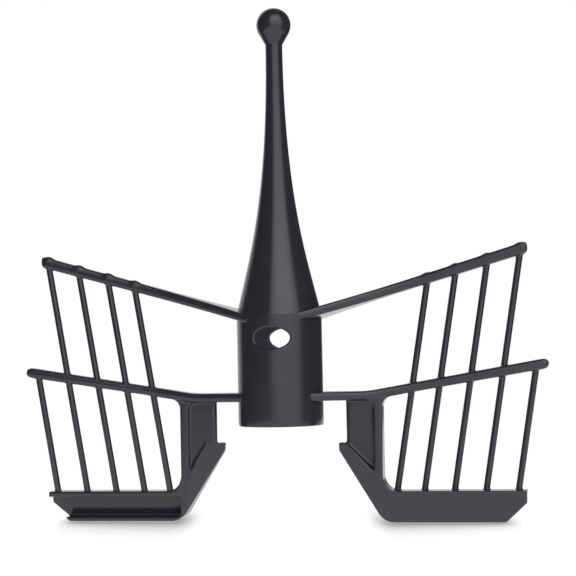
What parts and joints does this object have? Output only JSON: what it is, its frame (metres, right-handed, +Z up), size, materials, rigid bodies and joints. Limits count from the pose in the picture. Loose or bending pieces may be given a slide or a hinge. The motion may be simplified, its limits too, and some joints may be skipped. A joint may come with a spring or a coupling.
{
  "type": "mixing paddle",
  "caption": "Dark plastic mixing paddle with a socketed hub, a tapered mast with a ball knob, and wings of sloping bars, upright round tines and low scraper blades.",
  "frame": {"origin": "on the hub's axis, at the height of the scraper blades' underside", "axes": "+Z up the hub's axis to the ball knob; +X along one wing, whose leading face looks along -Y; the other wing is the same turned half round Z"},
  "size_m": [0.2124, 0.034, 0.2056],
  "materials": {
    "paddle_plastic": "satin dark anthracite, fine moulded grain",
    "bush_plastic": "smooth dark grey, slightly lighter than the hub"
  },
  "bodies": {
    "root": {"hub": "paddle_plastic", "drive_bush": "bush_plastic", "mast": "paddle_plastic", "ball_knob": "paddle_plastic", "right_upper_bar": "paddle_plastic", "right_lower_bar": "paddle_plastic", "right_bracket": "paddle_plastic", "right_scraper": "paddle_plastic", "right_tine_1": "paddle_plastic", "right_tine_2": "paddle_plastic", "right_tine_3": "paddle_plastic", "right_tine_4": "paddle_plastic", "right_short_tine": "paddle_plastic", "left_upper_bar": "paddle_plastic", "left_lower_bar": "paddle_plastic", "left_bracket": "paddle_plastic", "left_scraper": "paddle_plastic", "left_tine_1": "paddle_plastic", "left_tine_2": "paddle_plastic", "left_tine_3": "paddle_plastic", "left_tine_4": "paddle_plastic", "left_short_tine": "paddle_plastic"}
  },
  "joints": []
}
